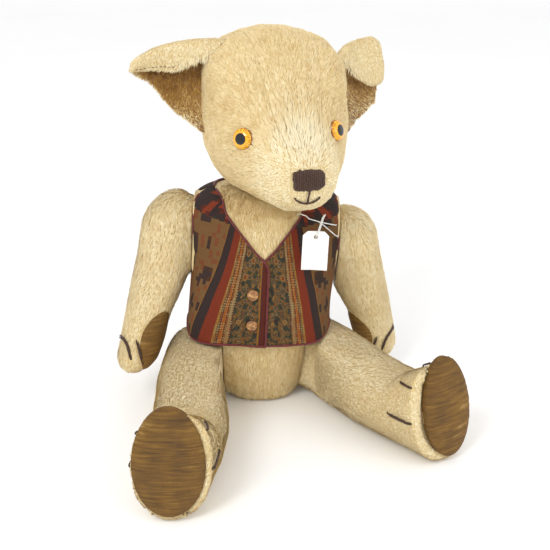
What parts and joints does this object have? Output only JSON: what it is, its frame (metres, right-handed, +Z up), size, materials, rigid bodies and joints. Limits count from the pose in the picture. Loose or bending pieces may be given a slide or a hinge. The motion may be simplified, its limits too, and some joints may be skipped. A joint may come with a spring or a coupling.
{
  "type": "jointed teddy bear",
  "caption": "Seated plush teddy bear with disc-jointed neck, shoulders and hips, glass eyes, velveteen pads, a patterned waistcoat and a strung ticket.",
  "frame": {"origin": "middle of the flat seat under the torso, on the surface the bear sits on", "axes": "+Z up, the bear faces -Y, its own left side is +X"},
  "size_m": [0.306, 0.3035, 0.3357],
  "materials": {
    "plush": "short cream mohair plush, slightly worn",
    "ear_plush": "cream mohair plush outside, tan woven cloth inside",
    "pad_velveteen": "worn brown velveteen",
    "thread": "dark brown embroidery thread",
    "eye_glass": "amber glass with a black pupil, polished",
    "stuffing": "packed wood wool and kapok",
    "fibreboard": "pressed fibreboard",
    "steel": "plain steel",
    "waistcoat_cloth": "woven kilim-like cloth in red, navy, tan and cream, with a bound edge",
    "button": "domed amber-brown buttons",
    "card": "white card",
    "string": "white cotton string"
  },
  "bodies": {
    "torso": {"torso_cover": "plush", "torso_stuffing": "stuffing", "torso_discs": "fibreboard", "torso_washers": "steel", "joint_pins": "steel", "vest_back": "waistcoat_cloth", "vest_front_right": "waistcoat_cloth", "vest_front_left": "waistcoat_cloth", "vest_buttons": "button"},
    "head": {"head_cover": "plush", "head_stuffing": "stuffing", "neck_disc": "fibreboard", "neck_washer": "steel", "eye_right": "eye_glass", "eye_left": "eye_glass", "nose_stitching": "thread", "mouth_stitching": "thread", "ear_right": "ear_plush", "ear_left": "ear_plush"},
    "arm_right": {"arm_cover_right": "plush", "arm_stuffing_right": "stuffing", "paw_pad_right": "pad_velveteen", "paw_claws_right": "thread", "shoulder_disc_right": "fibreboard", "shoulder_washer_right": "steel"},
    "arm_left": {"arm_cover_left": "plush", "arm_stuffing_left": "stuffing", "paw_pad_left": "pad_velveteen", "paw_claws_left": "thread", "shoulder_disc_left": "fibreboard", "shoulder_washer_left": "steel"},
    "leg_right": {"leg_cover_right": "plush", "leg_stuffing_right": "stuffing", "foot_pad_right": "pad_velveteen", "foot_card_right": "card", "foot_claws_right": "thread", "hip_disc_right": "fibreboard", "hip_washer_right": "steel"},
    "leg_left": {"leg_cover_left": "plush", "leg_stuffing_left": "stuffing", "foot_pad_left": "pad_velveteen", "foot_card_left": "card", "foot_claws_left": "thread", "hip_disc_left": "fibreboard", "hip_washer_left": "steel"},
    "ticket": {"ticket": "card", "ticket_string": "string"}
  },
  "joints": [
    {"name": "neck_turn", "type": "hinge", "parent": "torso", "child": "head", "pos_m": [0.00864, 0, 0.19781], "axis": [0.0436, 0, 0.999], "range_deg": [-60, 60]},
    {"name": "shoulder_right", "type": "hinge", "parent": "torso", "child": "arm_right", "pos_m": [-0.05783, 0, 0.16568], "axis": [-0.999, 0, 0.0436], "range_deg": [-20, 100]},
    {"name": "shoulder_left", "type": "hinge", "parent": "torso", "child": "arm_left", "pos_m": [0.07166, 0, 0.15102], "axis": [-0.999, 0, 0.0436], "range_deg": [-120, 8]},
    {"name": "hip_right", "type": "hinge", "parent": "torso", "child": "leg_right", "pos_m": [-0.032, -0.025, 0.04], "axis": [1, 0, 0], "range_deg": [0, 110]},
    {"name": "hip_left", "type": "hinge", "parent": "torso", "child": "leg_left", "pos_m": [0.01655, 0.00426, 0.04], "axis": [0.8192, 0.5736, 0], "range_deg": [0, 110]},
    {"name": "ticket_swing", "type": "hinge", "parent": "torso", "child": "ticket", "pos_m": [0.05615, -0.06, 0.18573], "axis": [0, -1, 0], "range_deg": [-12, 20]}
  ]
}
